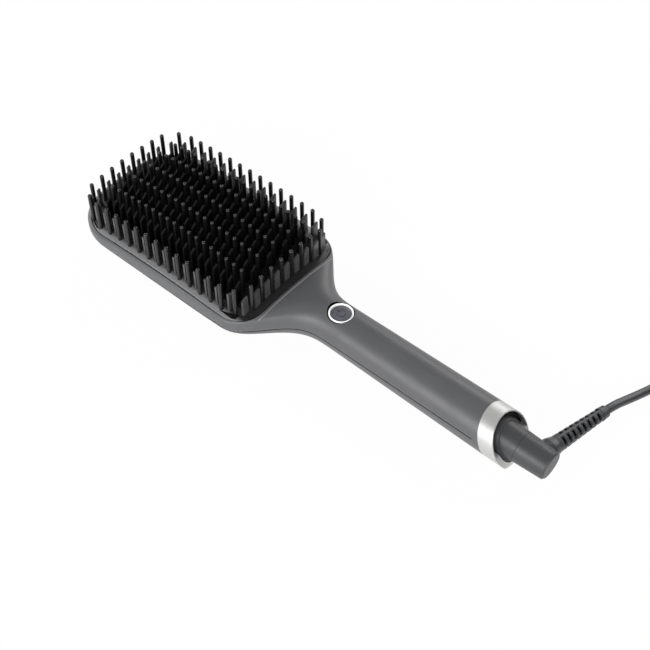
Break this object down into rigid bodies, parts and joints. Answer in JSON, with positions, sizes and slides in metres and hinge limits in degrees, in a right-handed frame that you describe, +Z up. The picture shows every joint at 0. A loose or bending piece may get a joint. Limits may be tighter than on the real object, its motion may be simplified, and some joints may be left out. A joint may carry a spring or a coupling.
{
  "type": "heated hair straightening brush",
  "caption": "Heated paddle brush with rows of round-tipped bristles and heated blades, a round handle, a sprung power button, a polished end ring and a swivelling mains cord with its plug.",
  "frame": {"origin": "on the surface that the brush lies on, midway between the tip of the head and the end of the cable barrel, on the plane that halves the head and handle", "axes": "+X from the head towards the cord end, +Y across the head towards the side where the cord leaves the barrel, +Z up, the way the bristles point"},
  "size_m": [0.3948, 0.1829, 0.0467],
  "materials": {
    "shell": "satin charcoal moulded plastic",
    "bristle_bed": "dark grey semi-gloss moulded plastic",
    "bristles": "black heat-resistant nylon",
    "heat_blades": "dark ceramic coating",
    "coated_plate": "dark ceramic coating",
    "light_diffuser": "white translucent plastic",
    "button_cap": "grey plastic",
    "switch_parts": "black plastic",
    "polished_ring": "polished plating",
    "socket_plastic": "black plastic",
    "swivel_plastic": "satin dark grey plastic",
    "cord_rubber": "dark grey flexible plastic",
    "tie_rubber": "black strap",
    "plated_pins": "nickel plated brass",
    "steel_fasteners": "zinc plated",
    "clamp_aluminium": "plain",
    "heater_ceramic": "white ceramic",
    "insulation_film": "amber film",
    "circuit_board": "green solder mask",
    "board_parts": "black component cases",
    "led_lens": "clear lens",
    "contact_brass": "plain brass",
    "contact_plastic": "natural plastic",
    "lead_sleeves": "flexible lead sleeves"
  },
  "bodies": {
    "root": {"blade_row_1": "heat_blades", "blade_row_2": "heat_blades", "blade_row_3": "heat_blades", "blade_row_4": "heat_blades", "blade_row_5": "heat_blades", "board_screws": "steel_fasteners", "bristle_frame": "bristle_bed", "buzzer": "board_parts", "clamp_screws": "steel_fasteners", "contact_block": "contact_plastic", "contact_springs": "contact_brass", "control_board": "circuit_board", "control_chip": "board_parts", "end_ring": "polished_ring", "front_housing": "shell", "head_screws": "steel_fasteners", "heater_clamp": "clamp_aluminium", "heater_leads": "lead_sleeves", "heating_plate": "coated_plate", "insulation_sheet": "insulation_film", "light_ring": "light_diffuser", "long_bristles_head_end": "bristles", "long_bristles_left": "bristles", "long_bristles_neck_end": "bristles", "long_bristles_right": "bristles", "mains_leads": "lead_sleeves", "ptc_heaters": "heater_ceramic", "rear_housing": "shell", "sensor_leads": "lead_sleeves", "smoothing_capacitor": "board_parts", "status_led": "led_lens", "surge_fuse": "board_parts", "swivel_neck": "swivel_plastic", "swivel_socket": "socket_plastic", "tact_switch": "switch_parts", "tall_bristle_row_1": "bristles", "tall_bristle_row_2": "bristles", "tall_bristle_row_3": "bristles", "tall_bristle_row_4": "bristles", "tall_bristle_row_5": "bristles", "temperature_sensor": "heater_ceramic", "thermal_fuse": "board_parts", "triac": "board_parts"},
    "power_button": {"power_button_cap": "button_cap", "switch_plunger": "switch_parts"},
    "swivel": {"cable_barrel": "swivel_plastic", "barrel_cap": "swivel_plastic", "slip_rings": "contact_brass", "retaining_clip": "steel_fasteners", "barrel_leads": "lead_sleeves", "strain_relief": "cord_rubber", "power_cord": "cord_rubber", "cord_coil": "cord_rubber", "cord_tail": "cord_rubber", "cord_tie": "tie_rubber", "plug_body": "cord_rubber", "plug_pins": "plated_pins"}
  },
  "joints": [
    {"name": "power_button_press", "type": "slide", "parent": "root", "child": "power_button", "axis": [-0.02, 0, -0.9998], "range_m": [0, 0.0008], "stiffness_N_per_m": 1000},
    {"name": "cord_swivel", "type": "hinge", "parent": "root", "child": "swivel", "pos_m": [0.137, 0, 0.01325], "axis": [0.9998, 0, -0.02], "continuous": true}
  ]
}
